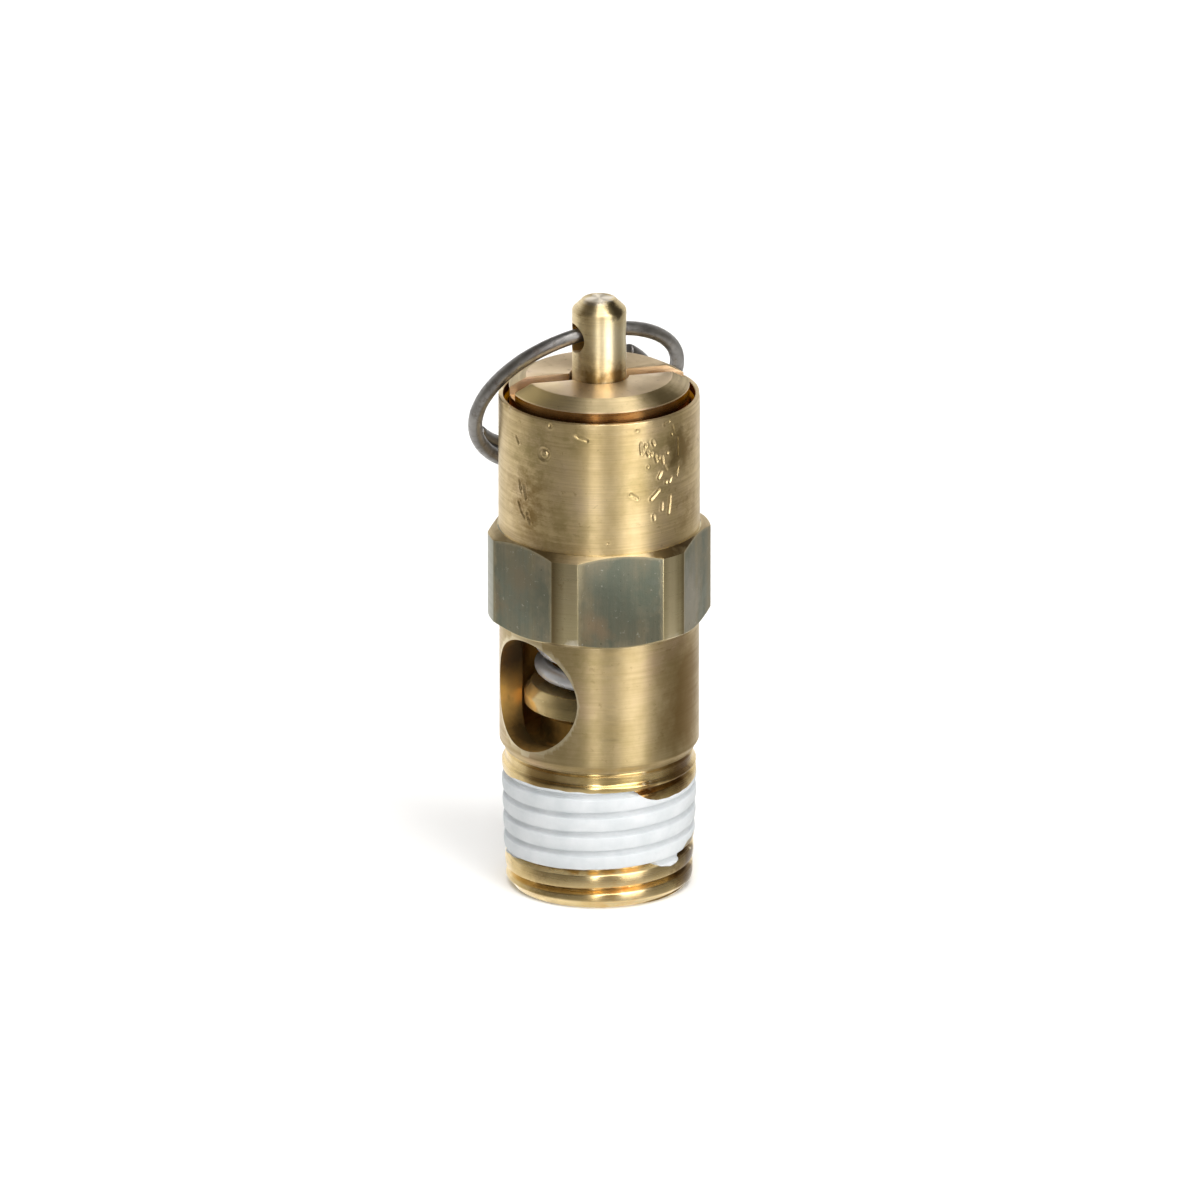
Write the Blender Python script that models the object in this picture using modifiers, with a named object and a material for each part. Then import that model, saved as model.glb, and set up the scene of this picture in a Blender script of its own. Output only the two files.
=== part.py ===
"""Spring-loaded air relief valve with a lift stem and a split pull ring.

Frame: +Z runs up the valve's axis, the origin is the centre of the threaded inlet
end, and the two discharge ports face -Y and +Y.  Lengths below are in millimetres
and are turned into metres when a mesh is made.
"""
import math

import bmesh
import bpy
from mathutils import Matrix, Vector

MM = 0.001

# ---- inlet thread: 1/4-18 taper pipe thread ----------------------------------
PITCH = 25.4 / 18
CREST_Z0 = 0.62            # height of the lowest crest where it faces FRONT_ANGLE
FRONT_ANGLE = 48.0         # degrees from -Y towards +X
END_R = 6.00               # flat end face
BARE_ROOT_R = 6.05         # root of the uncoated turns
BARE_TOP_Z = 2.88          # where the sealant coat starts
COAT_LOW_Z, COAT_TOP_Z = 2.95, 8.95
COAT_BORE_R = 5.56
COAT_CORE_R = 5.50         # body under the coat
COAT_DEPTH = 0.36          # crest to root of the coated thread
# ---- valve body ---------------------------------------------------------------
NECK_R, NECK_LOW_Z, NECK_TOP_Z = 6.52, 9.00, 9.92
SHOULDER_R, SHOULDER_LOW_Z, SHOULDER_TOP_Z = 6.62, 10.15, 10.56
LOWER_R = 6.93             # discharge barrel
UPPER_R = 6.98             # spring barrel
RIM_Z = 35.75
HEX_AF = 14.29             # 9/16 inch across flats
HEX_CORNER_R = 7.76
HEX_LOW_Z, HEX_TOP_Z = 19.42, 26.18
HEX_CHAMFER = math.radians(30)
INLET_R = 3.60             # drilled inlet
FLOOR_Z = 10.70            # floor of the discharge chamber
CHAMBER_R = 5.35
SPRING_BORE_R, SPRING_BORE_Z = 5.90, 19.60
CAP_BORE_R, CAP_BORE_Z = 6.36, 32.10
LIP_R, LIP_Z = 6.66, 34.95
PORT_R, PORT_Z = 4.00, 15.07
# ---- seat -----------------------------------------------------------------------
NOZZLE_R, NOZZLE_TOP_Z, NOZZLE_BORE_R = 3.95, 12.80, 3.35
SEAL_R, SEAL_LOW_Z, SEAL_TOP_Z = 4.20, 12.85, 13.85
# ---- disc holder ------------------------------------------------------------------
FLANGE_R, FLANGE_LOW_Z, FLANGE_LAND_Z, FLANGE_TOP_Z = 5.20, 13.20, 13.97, 14.70
HUB_R, HUB_TOP_Z = 2.95, 17.90
HUB_BORE_R, HUB_BORE_Z = 1.95, 14.80
RING_GROOVE_LOW_Z, RING_GROOVE_TOP_Z = 16.30, 17.00
# ---- lift stem ----------------------------------------------------------------------
STEM_R, STEM_TOP_Z = 1.88, 42.66
STEM_TIP_R, STEM_TIP_DROP = 1.12, 0.75
COLLAR_R, COLLAR_LOW_Z, COLLAR_TOP_Z = 2.50, 17.96, 29.85
CROSS_HOLE_R, CROSS_HOLE_Z = 1.05, 39.95
CROSS_HOLE_ANGLE = -19.3   # degrees from -Y towards +X
# ---- spring and its upper washer ------------------------------------------------------
WIRE_R, COIL_R = 0.60, 3.90
SPRING_LOW_Z, SPRING_TOP_Z = 14.76, 32.20
COILS = 8.6
WASHER_R, WASHER_BORE_R, WASHER_LOW_Z, WASHER_TOP_Z = 5.70, 2.10, 32.26, 32.95
# ---- adjusting cap ----------------------------------------------------------------------
CAP_R, CAP_FLAT_R, CAP_BORE_IN_R = 6.30, 5.00, 2.08
CAP_LOW_Z, CAP_EDGE_Z, CAP_FLAT_Z = 33.00, 36.44, 37.07
SLOT_WIDTH, SLOT_DEPTH, SLOT_ANGLE = 1.40, 1.20, 152.5
# ---- pull ring: a wire wound one and a half turns ------------------------------------------
RING_WIRE_R = 0.50
RING_R = 7.473
RING_TILT = math.radians(36.6)      # ring plane from the vertical
RING_START, RING_END = 128.0, 681.0   # degrees of winding, 360 in the cross hole
RING_RISE = 1.40                    # axial rise per turn
RING_OPEN_FROM = 480.0              # the second turn is sprung open from here
RING_OPEN_R, RING_OPEN_AXIAL, RING_OPEN_DROP, RING_OPEN_SIDE = 7.20, 3.54, 4.65, 0.14
RING_SIDE = 0.115                  # the ring hangs this far off centre in the hole
RING_LIFT = 0.33                    # and this far above the hole's centre, held up by the rim
ROUND = 48


def direction(angle):
    """Unit vector at a compass angle measured from -Y towards +X."""
    a = math.radians(angle)
    return Vector((math.sin(a), -math.cos(a), 0.0))


def clear_scene():
    for item in list(bpy.data.objects):
        bpy.data.objects.remove(item, do_unlink=True)


def add_collection(name):
    group = bpy.data.collections.new(name)
    bpy.context.scene.collection.children.link(group)
    return group


def material(name, colour, metallic, roughness):
    mat = bpy.data.materials.new(name)
    mat.use_nodes = True
    shader = mat.node_tree.nodes["Principled BSDF"]
    shader.inputs["Base Color"].default_value = (*colour, 1.0)
    shader.inputs["Metallic"].default_value = metallic
    shader.inputs["Roughness"].default_value = roughness
    mat.diffuse_color = (*colour, 1.0)
    return mat


def add_object(name, data, group, mat=None):
    item = bpy.data.objects.new(name, data)
    group.objects.link(item)
    if mat is not None:
        data.materials.append(mat)
    return item


def as_cutter(item):
    item.hide_render = True
    item.display_type = "WIRE"
    return item


def turned(name, profile, group, mat=None, closed=True, steps=ROUND, origin_z=0.0):
    """Revolve a profile of (radius, height) pairs about Z with a Screw modifier."""
    mesh = bpy.data.meshes.new(name)
    verts = [(r * MM, 0.0, (z - origin_z) * MM) for r, z in profile]
    edges = [(i, i + 1) for i in range(len(verts) - 1)]
    if closed:
        edges.append((len(verts) - 1, 0))
    mesh.from_pydata(verts, edges, [])
    item = add_object(name, mesh, group, mat)
    item.location.z = origin_z * MM
    screw = item.modifiers.new("turn", "SCREW")
    screw.steps = screw.render_steps = steps
    screw.use_merge_vertices = True
    screw.merge_threshold = 1e-6
    screw.use_normal_calculate = False
    return item


def boolean(item, other, operation):
    mod = item.modifiers.new(operation.lower(), "BOOLEAN")
    mod.operation = operation
    mod.solver = "EXACT"
    mod.object = other
    return mod


def shade(item, angle=30):
    """Smooth round faces and keep edges over the angle sharp."""
    mesh = item.data
    mesh.shade_smooth()
    mesh.set_sharp_from_angle(angle=math.radians(angle))


def thread_ridge(name, group, first_z, last_z, crest_r, root_r, limits,
                 half_base=0.66, half_crest=0.34, steps_per_turn=36):
    """Helical thread ridge with a trapezium section, faded out at both ends.

    first_z and last_z are heights of the crest line; its phase comes from CREST_Z0.
    crest_r and root_r are functions of height; limits clamp the heights.
    """
    step = 2 * math.pi / steps_per_turn
    start = (first_z - CREST_Z0) / PITCH * 2 * math.pi
    count = int((last_z - first_z) / PITCH * steps_per_turn)
    fade_steps = steps_per_turn // 6
    bm = bmesh.new()
    rings = []
    for i in range(count + 1):
        turn = start + i * step
        z = CREST_Z0 + PITCH * turn / (2 * math.pi)
        fade = min(1.0, i / fade_steps, (count - i) / fade_steps)
        root = root_r(z)
        crest = root - 0.12 + (crest_r(z) - root + 0.12) * fade
        section = [(root - 0.25, -half_base), (crest, -half_crest),
                   (crest, half_crest), (root - 0.25, half_base)]
        out = direction(FRONT_ANGLE + math.degrees(turn))
        ring = []
        for radius, dz in section:
            height = min(max(z + dz, limits[0]), limits[1])
            ring.append(bm.verts.new((out * radius + Vector((0, 0, height))) * MM))
        rings.append(ring)
    for a, b in zip(rings, rings[1:]):
        for k in range(4):
            n = (k + 1) % 4
            bm.faces.new((a[k], b[k], b[n], a[n]))
    bm.faces.new(rings[0])
    bm.faces.new(list(reversed(rings[-1])))
    bmesh.ops.recalc_face_normals(bm, faces=bm.faces)
    mesh = bpy.data.meshes.new(name)
    bm.to_mesh(mesh)
    bm.free()
    return as_cutter(add_object(name, mesh, group))


def cylinder(name, radius, low, high, group, steps=48):
    """Upright cylinder between two heights."""
    bm = bmesh.new()
    bmesh.ops.create_cone(bm, cap_ends=True, segments=steps, radius1=radius * MM,
                          radius2=radius * MM, depth=(high - low) * MM)
    mesh = bpy.data.meshes.new(name)
    bm.to_mesh(mesh)
    bm.free()
    item = as_cutter(add_object(name, mesh, group))
    item.location.z = (low + high) / 2 * MM
    return item


def cross_cylinder(name, radius, angle, z, near, far, group, steps=40):
    """Cylinder lying along a compass angle, from near to far along it."""
    item = cylinder(name, radius, near, far, group, steps)
    out = direction(angle)
    item.rotation_mode = "QUATERNION"
    item.rotation_quaternion = out.to_track_quat("Z", "Y")
    item.location = (out * (near + far) / 2 + Vector((0, 0, z))) * MM
    return item


def poly_curve(name, points, wire_r, group, mat, closed=False):
    """Round wire through points given relative to the object's origin, in mm."""
    curve = bpy.data.curves.new(name, "CURVE")
    curve.dimensions = "3D"
    curve.bevel_depth = wire_r * MM
    curve.bevel_resolution = 2
    curve.use_fill_caps = True
    spline = curve.splines.new("POLY")
    spline.points.add(len(points) - 1)
    for slot, point in zip(spline.points, points):
        slot.co = (*(Vector(point) * MM), 1.0)
    spline.use_cyclic_u = closed
    return add_object(name, curve, group, mat)


def make_body(parts, cutters, brass):
    profile = [
        (LIP_R, RIM_Z), (UPPER_R - 0.06, RIM_Z), (UPPER_R, RIM_Z - 0.06),
        (UPPER_R, 24.0), (LOWER_R, 22.0), (LOWER_R, SHOULDER_TOP_Z),
        (SHOULDER_R, SHOULDER_LOW_Z), (SHOULDER_R, NECK_TOP_Z + 0.06),
        (NECK_R, NECK_TOP_Z), (NECK_R, NECK_LOW_Z), (COAT_CORE_R, NECK_LOW_Z),
        (COAT_CORE_R, BARE_TOP_Z), (BARE_ROOT_R, BARE_TOP_Z), (BARE_ROOT_R, 0.10),
        (END_R, 0.0), (INLET_R + 0.35, 0.0), (INLET_R, 0.35), (INLET_R, FLOOR_Z),
        (CHAMBER_R, FLOOR_Z), (CHAMBER_R, SPRING_BORE_Z),
        (SPRING_BORE_R, SPRING_BORE_Z + 0.4), (SPRING_BORE_R, CAP_BORE_Z),
        (CAP_BORE_R, CAP_BORE_Z + 0.3), (CAP_BORE_R, LIP_Z), (LIP_R, LIP_Z + 0.2),
    ]
    body = turned("valve_body", profile, parts, brass)

    # hexagon bar stock: chamfered top and bottom where the turned barrels meet it
    bm = bmesh.new()
    bmesh.ops.create_cone(bm, cap_ends=True, segments=6,
                          radius1=HEX_AF / math.sqrt(3) * MM,
                          radius2=HEX_AF / math.sqrt(3) * MM,
                          depth=(HEX_TOP_Z - HEX_LOW_Z) * MM)
    mesh = bpy.data.meshes.new("hex_bar")
    bm.to_mesh(mesh)
    bm.free()
    hexagon = as_cutter(add_object("hex_bar", mesh, cutters))
    hexagon.location.z = (HEX_LOW_Z + HEX_TOP_Z) / 2 * MM
    hexagon.rotation_euler.z = math.radians(30)
    flat_r = HEX_AF / 2 - 0.06
    drop = (HEX_CORNER_R - flat_r) * math.tan(HEX_CHAMFER)
    blank = turned("hex_blank", [
        (5.95 + 0.5, HEX_TOP_Z + 0.2), (flat_r, HEX_TOP_Z + 0.2), (flat_r, HEX_TOP_Z),
        (HEX_CORNER_R, HEX_TOP_Z - drop), (HEX_CORNER_R, HEX_LOW_Z + drop),
        (flat_r, HEX_LOW_Z), (flat_r, HEX_LOW_Z - 0.2), (6.45, HEX_LOW_Z - 0.2),
    ], cutters)
    boolean(as_cutter(blank), hexagon, "INTERSECT")
    boolean(body, blank, "UNION")

    for name, angle in (("port_front", 0.0), ("port_back", 180.0)):
        boolean(body, cross_cylinder(name, PORT_R, angle, PORT_Z, 3.0, 9.0, cutters),
                "DIFFERENCE")

    nozzle = turned("nozzle", [
        (NOZZLE_BORE_R + 0.12, NOZZLE_TOP_Z), (NOZZLE_R - 0.25, NOZZLE_TOP_Z),
        (NOZZLE_R, NOZZLE_TOP_Z - 0.3), (NOZZLE_R + 0.2, FLOOR_Z - 0.35),
        (NOZZLE_BORE_R, FLOOR_Z - 0.35), (NOZZLE_BORE_R, NOZZLE_TOP_Z - 0.2),
    ], cutters)
    boolean(body, as_cutter(nozzle), "UNION")

    def crest(z):
        return min(6.50 + (z - CREST_Z0) / 32, BARE_ROOT_R + 0.12 + z)

    ridge = thread_ridge("bare_thread", cutters, 0.30, 2.62, crest,
                         lambda z: BARE_ROOT_R, (0.04, BARE_TOP_Z - 0.02))
    boolean(body, ridge, "UNION")
    return body


def make_sealant(parts, cutters, white):
    def crest(z):
        return 6.60 + (z - COAT_LOW_Z) * 0.045

    low, high = crest(COAT_LOW_Z) - COAT_DEPTH, crest(COAT_TOP_Z) - COAT_DEPTH
    coat = turned("thread_sealant", [
        (COAT_BORE_R, COAT_TOP_Z), (high, COAT_TOP_Z), (low, COAT_LOW_Z),
        (COAT_BORE_R, COAT_LOW_Z)], parts, white)
    ridge = thread_ridge("coated_thread", cutters, COAT_LOW_Z + 0.25, COAT_TOP_Z - 0.22,
                         crest, lambda z: crest(z) - COAT_DEPTH,
                         (COAT_LOW_Z + 0.02, COAT_TOP_Z - 0.02))
    boolean(coat, ridge, "UNION")
    return coat


def make_holder(parts, brass):
    seal_top = SEAL_TOP_Z + 0.05
    return turned("disc_holder", [
        (0.0, HUB_BORE_Z), (HUB_BORE_R, HUB_BORE_Z), (HUB_BORE_R, RING_GROOVE_LOW_Z),
        (2.36, RING_GROOVE_LOW_Z), (2.36, RING_GROOVE_TOP_Z),
        (HUB_BORE_R, RING_GROOVE_TOP_Z), (HUB_BORE_R, HUB_TOP_Z),
        (HUB_R - 0.25, HUB_TOP_Z), (HUB_R, HUB_TOP_Z - 0.25), (HUB_R, FLANGE_TOP_Z),
        (FLANGE_R - 0.5, FLANGE_TOP_Z), (FLANGE_R, FLANGE_LAND_Z),
        (FLANGE_R, FLANGE_LOW_Z), (SEAL_R + 0.05, FLANGE_LOW_Z),
        (SEAL_R + 0.05, seal_top), (0.0, seal_top),
    ], parts, brass, closed=False, steps=48)


def make_seal(parts, rubber):
    return turned("seal_disc", [
        (0.0, SEAL_TOP_Z), (SEAL_R, SEAL_TOP_Z), (SEAL_R, SEAL_LOW_Z + 0.1),
        (SEAL_R - 0.1, SEAL_LOW_Z), (0.0, SEAL_LOW_Z)], parts, rubber,
        closed=False, steps=48)


def make_stem(parts, cutters, brass):
    stem = turned("lift_stem", [
        (0.0, STEM_TOP_Z), (STEM_TIP_R, STEM_TOP_Z), (STEM_R, STEM_TOP_Z - STEM_TIP_DROP),
        (STEM_R, COLLAR_TOP_Z + 0.35), (COLLAR_R - 0.2, COLLAR_TOP_Z),
        (COLLAR_R, COLLAR_TOP_Z - 0.2), (COLLAR_R, COLLAR_LOW_Z),
        (1.88, COLLAR_LOW_Z), (1.88, RING_GROOVE_TOP_Z), (1.55, RING_GROOVE_TOP_Z),
        (1.55, RING_GROOVE_LOW_Z), (1.88, RING_GROOVE_LOW_Z), (1.88, 15.25),
        (1.55, 14.9), (0.0, 14.9)], parts, brass, closed=False, steps=48)
    hole = cross_cylinder("cross_hole", CROSS_HOLE_R, CROSS_HOLE_ANGLE, CROSS_HOLE_Z,
                          -3.0, 3.0, cutters, steps=32)
    boolean(stem, hole, "DIFFERENCE")
    return stem


def make_snap_ring(parts, steel):
    z = (RING_GROOVE_LOW_Z + RING_GROOVE_TOP_Z) / 2
    points = [direction(a) * 1.97 for a in range(20, 341, 16)]
    ring = poly_curve("stem_snap_ring", points, 0.26, parts, steel)
    ring.location.z = z * MM
    return ring


def coil_height(turn):
    """Centreline height after some turns: closed coils at both ends."""
    closed = 2 * WIRE_R + 0.06
    free = SPRING_TOP_Z - SPRING_LOW_Z - 2 * WIRE_R
    end_turns = 0.9
    pitch = (free - 2 * end_turns * closed) / (COILS - 2 * end_turns)
    low = min(turn, end_turns) * closed
    middle = min(max(turn - end_turns, 0.0), COILS - 2 * end_turns) * pitch
    high = max(turn - (COILS - end_turns), 0.0) * closed
    return SPRING_LOW_Z + WIRE_R + low + middle + high


def make_spring(parts, steel):
    per_turn = 16
    count = int(COILS * per_turn)
    points = []
    for i in range(count + 1):
        turn = i / count * COILS
        out = direction(120.0 - 360.0 * turn) * COIL_R     # left-hand wound
        points.append(out + Vector((0, 0, coil_height(turn))))
    return poly_curve("spring", points, WIRE_R, parts, steel)


def make_washer(parts, steel):
    return turned("spring_washer", [
        (WASHER_BORE_R, WASHER_TOP_Z), (WASHER_R, WASHER_TOP_Z),
        (WASHER_R, WASHER_LOW_Z), (WASHER_BORE_R, WASHER_LOW_Z)], parts, steel, steps=48)


def make_cap(parts, cutters, brass):
    cap = turned("adjusting_cap", [
        (CAP_BORE_IN_R, CAP_FLAT_Z), (CAP_FLAT_R, CAP_FLAT_Z), (CAP_R - 0.1, CAP_EDGE_Z),
        (CAP_R, CAP_EDGE_Z - 0.1), (CAP_R, CAP_LOW_Z + 0.3), (CAP_R - 0.3, CAP_LOW_Z),
        (CAP_BORE_IN_R, CAP_LOW_Z)], parts, brass)
    bm = bmesh.new()
    bmesh.ops.create_cube(bm, size=1.0)
    bmesh.ops.scale(bm, vec=Vector((15.0, SLOT_WIDTH, SLOT_DEPTH + 1.0)) * MM, verts=bm.verts)
    mesh = bpy.data.meshes.new("slot")
    bm.to_mesh(mesh)
    bm.free()
    slot = as_cutter(add_object("slot", mesh, cutters))
    slot.location.z = (CAP_FLAT_Z - SLOT_DEPTH + (SLOT_DEPTH + 1.0) / 2) * MM
    along = direction(SLOT_ANGLE)
    slot.rotation_euler.z = math.atan2(along.y, along.x)
    boolean(cap, slot, "DIFFERENCE")
    return cap


def ring_points():
    """Wound wire relative to the cross hole's centre, leaning back at rest."""
    hinge = direction(CROSS_HOLE_ANGLE)
    back = direction(CROSS_HOLE_ANGLE - 90.0)
    down = back * math.sin(RING_TILT) - Vector((0, 0, 1)) * math.cos(RING_TILT)
    normal = -back * math.cos(RING_TILT) - Vector((0, 0, 1)) * math.sin(RING_TILT)
    count = 66
    points = []
    for i in range(count + 1):
        wind = RING_START + (RING_END - RING_START) * i / count
        t = min(max((wind - RING_OPEN_FROM) / (RING_END - RING_OPEN_FROM), 0.0), 1.0)
        opened = t * t * (3 - 2 * t)
        radius = RING_R + (RING_OPEN_R - RING_R) * opened
        axial = (wind - 360.0) / 360.0 * RING_RISE - RING_OPEN_AXIAL * opened
        a = math.radians(wind)
        points.append(down * (RING_R + RING_OPEN_DROP * opened - radius * math.cos(a))
                      + hinge * (radius * math.sin(a) - RING_SIDE + RING_OPEN_SIDE * opened)
                      + normal * axial + Vector((0, 0, RING_LIFT)))
    return points


def make_pull_ring(parts, steel):
    ring = poly_curve("pull_ring", ring_points(), RING_WIRE_R, parts, steel)
    ring.location.z = CROSS_HOLE_Z * MM
    return ring


def main():
    clear_scene()
    parts = add_collection("pressure_relief_valve")
    cutters = add_collection("cutters")
    brass = material("turned_brass", (0.55, 0.42, 0.20), 1.0, 0.35)
    dark_brass = material("stem_brass", (0.60, 0.46, 0.23), 1.0, 0.30)
    sealant = material("white_sealant", (0.85, 0.87, 0.88), 0.0, 0.55)
    steel = material("ring_steel", (0.30, 0.29, 0.28), 1.0, 0.40)
    spring_steel = material("spring_steel", (0.55, 0.55, 0.54), 1.0, 0.30)
    rubber = material("seal_rubber", (0.05, 0.05, 0.05), 0.0, 0.70)

    make_body(parts, cutters, brass)
    make_sealant(parts, cutters, sealant)
    make_seal(parts, rubber)
    make_holder(parts, brass)
    make_stem(parts, cutters, dark_brass)
    make_snap_ring(parts, spring_steel)
    make_spring(parts, spring_steel)
    make_washer(parts, spring_steel)
    make_cap(parts, cutters, brass)
    make_pull_ring(parts, steel)
    for item in list(parts.objects) + list(cutters.objects):
        if item.type == "MESH":
            shade(item)


main()
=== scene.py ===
"""Looks for the pressure relief valve: high-detail pieces and procedural materials
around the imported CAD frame.  Lengths are in millimetres until a mesh is made; angles
are compass angles from -Y towards +X."""
import math

import bmesh
import bpy
import numpy as np
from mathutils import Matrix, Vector, noise


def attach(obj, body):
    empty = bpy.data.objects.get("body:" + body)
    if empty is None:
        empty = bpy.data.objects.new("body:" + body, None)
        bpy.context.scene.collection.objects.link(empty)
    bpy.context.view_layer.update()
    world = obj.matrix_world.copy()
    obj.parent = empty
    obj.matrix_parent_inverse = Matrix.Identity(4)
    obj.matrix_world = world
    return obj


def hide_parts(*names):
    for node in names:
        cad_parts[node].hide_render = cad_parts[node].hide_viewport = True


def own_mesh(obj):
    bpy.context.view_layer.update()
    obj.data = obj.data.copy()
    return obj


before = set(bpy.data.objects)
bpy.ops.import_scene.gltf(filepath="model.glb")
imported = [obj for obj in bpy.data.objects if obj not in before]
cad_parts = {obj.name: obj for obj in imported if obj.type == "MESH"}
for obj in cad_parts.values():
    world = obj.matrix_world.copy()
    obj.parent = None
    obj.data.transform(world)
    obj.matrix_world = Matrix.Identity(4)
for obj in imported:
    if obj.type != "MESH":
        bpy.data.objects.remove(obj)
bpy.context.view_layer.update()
MM = 0.001
TAU = 2 * math.pi

# ---- sizes shared with the CAD ------------------------------------------------
PITCH = 25.4 / 18
CREST_Z0, FRONT_ANGLE = 0.62, 48.0
HEX_AF, HEX_CORNER_R, HEX_LOW, HEX_TOP = 14.29, 7.76, 19.42, 26.18
UPPER_R, LOWER_R, RIM_Z = 6.98, 6.93, 35.75
SHOULDER_Z = 10.56
NECK_R = 6.52
CHAMBER_R, FLOOR_Z = 5.35, 10.70
PORT_R, PORT_Z = 4.00, 15.07
HOLE_ANGLE, HOLE_Z, HOLE_R = -19.3, 39.95, 1.05
STEM_R, STEM_TOP = 1.88, 42.66
CAP_R, CAP_EDGE_Z, CAP_FLAT_Z = 6.30, 36.44, 37.07
SLOT_ANGLE, SLOT_WIDTH, SLOT_DEPTH = 152.5, 1.40, 1.20
SPRING_LOW, SPRING_TOP = 14.76, 32.20


def direction(angle):
    a = math.radians(angle)
    return Vector((math.sin(a), -math.cos(a), 0.0))


def smoothstep(t):
    t = min(max(t, 0.0), 1.0)
    return t * t * (3 - 2 * t)


# ---- mesh helpers ---------------------------------------------------------------
def new_object(name, mesh):
    item = bpy.data.objects.new(name, mesh)
    bpy.context.scene.collection.objects.link(item)
    return item


def smooth(item, angle=32):
    item.data.shade_smooth()
    item.data.set_sharp_from_angle(angle=math.radians(angle))
    return item


def mesh_object(name, verts, faces, angle=32):
    mesh = bpy.data.meshes.new(name)
    mesh.from_pydata([(v[0] * MM, v[1] * MM, v[2] * MM) for v in verts], [], faces)
    bm = bmesh.new()
    bm.from_mesh(mesh)
    bmesh.ops.remove_doubles(bm, verts=bm.verts, dist=1e-7)
    bmesh.ops.recalc_face_normals(bm, faces=bm.faces)
    bm.to_mesh(mesh)
    bm.free()
    return smooth(new_object(name, mesh), angle)


def rounded(profile, radius, steps=4, closed=True):
    """Round each corner of a profile; a third value is that corner's own radius."""
    pts = [np.array(p[:2], float) for p in profile]
    n = len(pts)
    out = []
    for i, p in enumerate(pts):
        r = profile[i][2] if len(profile[i]) > 2 else radius
        if (not closed and i in (0, n - 1)) or r <= 0:
            out.append(tuple(p))
            continue
        a, b = pts[i - 1] - p, pts[(i + 1) % n] - p
        la, lb = np.linalg.norm(a), np.linalg.norm(b)
        reach = min(r, la * 0.45, lb * 0.45)
        s, e = p + a / la * reach, p + b / lb * reach
        for k in range(steps + 1):
            t = k / steps
            out.append(tuple((1 - t) ** 2 * s + 2 * t * (1 - t) * p + t * t * e))
    return out


def revolve(name, profile, angles=None, closed=True, shift=None, sharp=32):
    """Solid of revolution from (radius, height) pairs; shift(angle, z, r) moves r."""
    if angles is None:
        angles = [360.0 * j / 192 for j in range(192)]
    n, m = len(profile), len(angles)
    verts, faces = [], []
    for a in angles:
        out = direction(a)
        for r, z in profile:
            q = r + shift(a, z, r) if shift else r
            verts.append((out.x * q, out.y * q, z))
    for j in range(m):
        k = (j + 1) % m
        for i in range(n if closed else n - 1):
            p = (i + 1) % n
            faces.append((j * n + i, k * n + i, k * n + p, j * n + p))
    return mesh_object(name, verts, faces, sharp)


def even(count):
    return [360.0 * j / count for j in range(count)]


def apply_modifiers(item):
    deps = bpy.context.evaluated_depsgraph_get()
    mesh = bpy.data.meshes.new_from_object(item.evaluated_get(deps))
    item.modifiers.clear()
    old = item.data
    item.data = mesh
    bpy.data.meshes.remove(old)
    return smooth(item)


def cut(item, cutters, operation="DIFFERENCE", bevel=0.0, bevel_angle=35, segments=2):
    for other in cutters:
        mod = item.modifiers.new("cut", "BOOLEAN")
        mod.operation, mod.solver, mod.object = operation, "EXACT", other
    if bevel:
        mod = item.modifiers.new("edge", "BEVEL")
        mod.width, mod.segments = bevel * MM, segments
        mod.limit_method = "ANGLE"
        mod.angle_limit = math.radians(bevel_angle)
        mod.use_clamp_overlap = True
    apply_modifiers(item)
    for other in cutters:
        bpy.data.objects.remove(other, do_unlink=True)
    return item


def cross_cylinder(radius, angle, z, near, far, segments):
    """Cylinder along a compass angle between two distances from the axis."""
    bm = bmesh.new()
    bmesh.ops.create_cone(bm, cap_ends=True, segments=segments, radius1=radius * MM,
                          radius2=radius * MM, depth=(far - near) * MM)
    mesh = bpy.data.meshes.new("cutter")
    bm.to_mesh(mesh)
    bm.free()
    item = new_object("cutter", mesh)
    out = direction(angle)
    item.rotation_mode = "QUATERNION"
    item.rotation_quaternion = out.to_track_quat("Z", "Y")
    item.location = (out * (near + far) / 2 + Vector((0, 0, z))) * MM
    return item


def sweep(name, points, radius, sides, wobble=0.0, end_round=0.15):
    """Round wire through points, with slightly rounded cut ends."""
    pts = np.array([list(p) for p in points], float)
    tang = np.gradient(pts, axis=0)
    tang /= np.linalg.norm(tang, axis=1)[:, None]
    normal = np.cross(tang[0], [0.0, 0.0, 1.0])
    sections = []
    for i in range(len(pts)):
        normal = normal - (normal @ tang[i]) * tang[i]
        normal /= np.linalg.norm(normal)
        r = radius + wobble * noise.noise(Vector(pts[i]) * 0.8)
        sections.append((pts[i], normal.copy(), np.cross(tang[i], normal), r))
    (p0, n0, b0, r0), (p1, n1, b1, r1) = sections[0], sections[-1]
    e = end_round
    head = [(p0, n0, b0, r0 - e), (p0 + tang[0] * e * 0.35, n0, b0, r0 - e * 0.3)]
    tail = [(p1 - tang[-1] * e * 0.35, n1, b1, r1 - e * 0.3), (p1, n1, b1, r1 - e)]
    verts, faces, rings = [], [], []
    for p, nrm, bi, r in head + sections[1:-1] + tail:
        rings.append(list(range(len(verts), len(verts) + sides)))
        for k in range(sides):
            a = TAU * k / sides
            verts.append(tuple(p + r * (math.cos(a) * nrm + math.sin(a) * bi)))
    for a, b in zip(rings, rings[1:]):
        for k in range(sides):
            m = (k + 1) % sides
            faces.append((a[k], a[m], b[m], b[k]))
    faces.append(tuple(reversed(rings[0])))
    faces.append(tuple(rings[-1]))
    return mesh_object(name, verts, faces, 50)


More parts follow.
